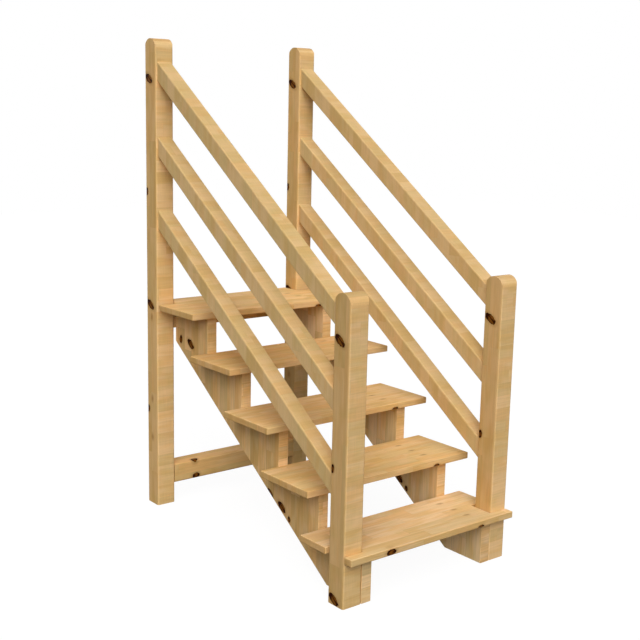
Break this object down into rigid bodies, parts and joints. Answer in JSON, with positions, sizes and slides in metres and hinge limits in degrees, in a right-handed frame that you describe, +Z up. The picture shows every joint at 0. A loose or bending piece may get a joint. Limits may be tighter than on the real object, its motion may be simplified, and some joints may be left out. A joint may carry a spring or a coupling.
{
  "type": "wooden deck stairs",
  "caption": "Open-riser wooden deck stairs on cut stringers, with square posts and sloping rails on both sides.",
  "frame": {"origin": "on the ground, midway between the sides and midway from the lowest tread's nose to the back posts' back faces", "axes": "+X to the right of someone climbing, +Y up the flight towards the deck, +Z up"},
  "size_m": [0.875, 1.479, 2.1159],
  "materials": {
    "front_post_left": "planed pine, clear matt",
    "back_post_left": "planed pine, clear matt",
    "stringer_left": "planed pine, clear matt",
    "handrail_left": "planed pine, clear matt",
    "middle_rail_left": "planed pine, clear matt",
    "lower_rail_left": "planed pine, clear matt",
    "front_post_right": "planed pine, clear matt",
    "back_post_right": "planed pine, clear matt",
    "stringer_right": "planed pine, clear matt",
    "handrail_right": "planed pine, clear matt",
    "middle_rail_right": "planed pine, clear matt",
    "lower_rail_right": "planed pine, clear matt",
    "tread_1": "planed pine, clear matt",
    "tread_2": "planed pine, clear matt",
    "tread_3": "planed pine, clear matt",
    "tread_4": "planed pine, clear matt",
    "tread_5": "planed pine, clear matt",
    "cross_rail_lower": "planed pine, clear matt",
    "cross_rail_upper": "planed pine, clear matt"
  },
  "bodies": {
    "root": {"front_post_left": "front_post_left", "back_post_left": "back_post_left", "stringer_left": "stringer_left", "handrail_left": "handrail_left", "middle_rail_left": "middle_rail_left", "lower_rail_left": "lower_rail_left", "front_post_right": "front_post_right", "back_post_right": "back_post_right", "stringer_right": "stringer_right", "handrail_right": "handrail_right", "middle_rail_right": "middle_rail_right", "lower_rail_right": "lower_rail_right", "tread_1": "tread_1", "tread_2": "tread_2", "tread_3": "tread_3", "tread_4": "tread_4", "tread_5": "tread_5", "cross_rail_lower": "cross_rail_lower", "cross_rail_upper": "cross_rail_upper"}
  },
  "joints": []
}
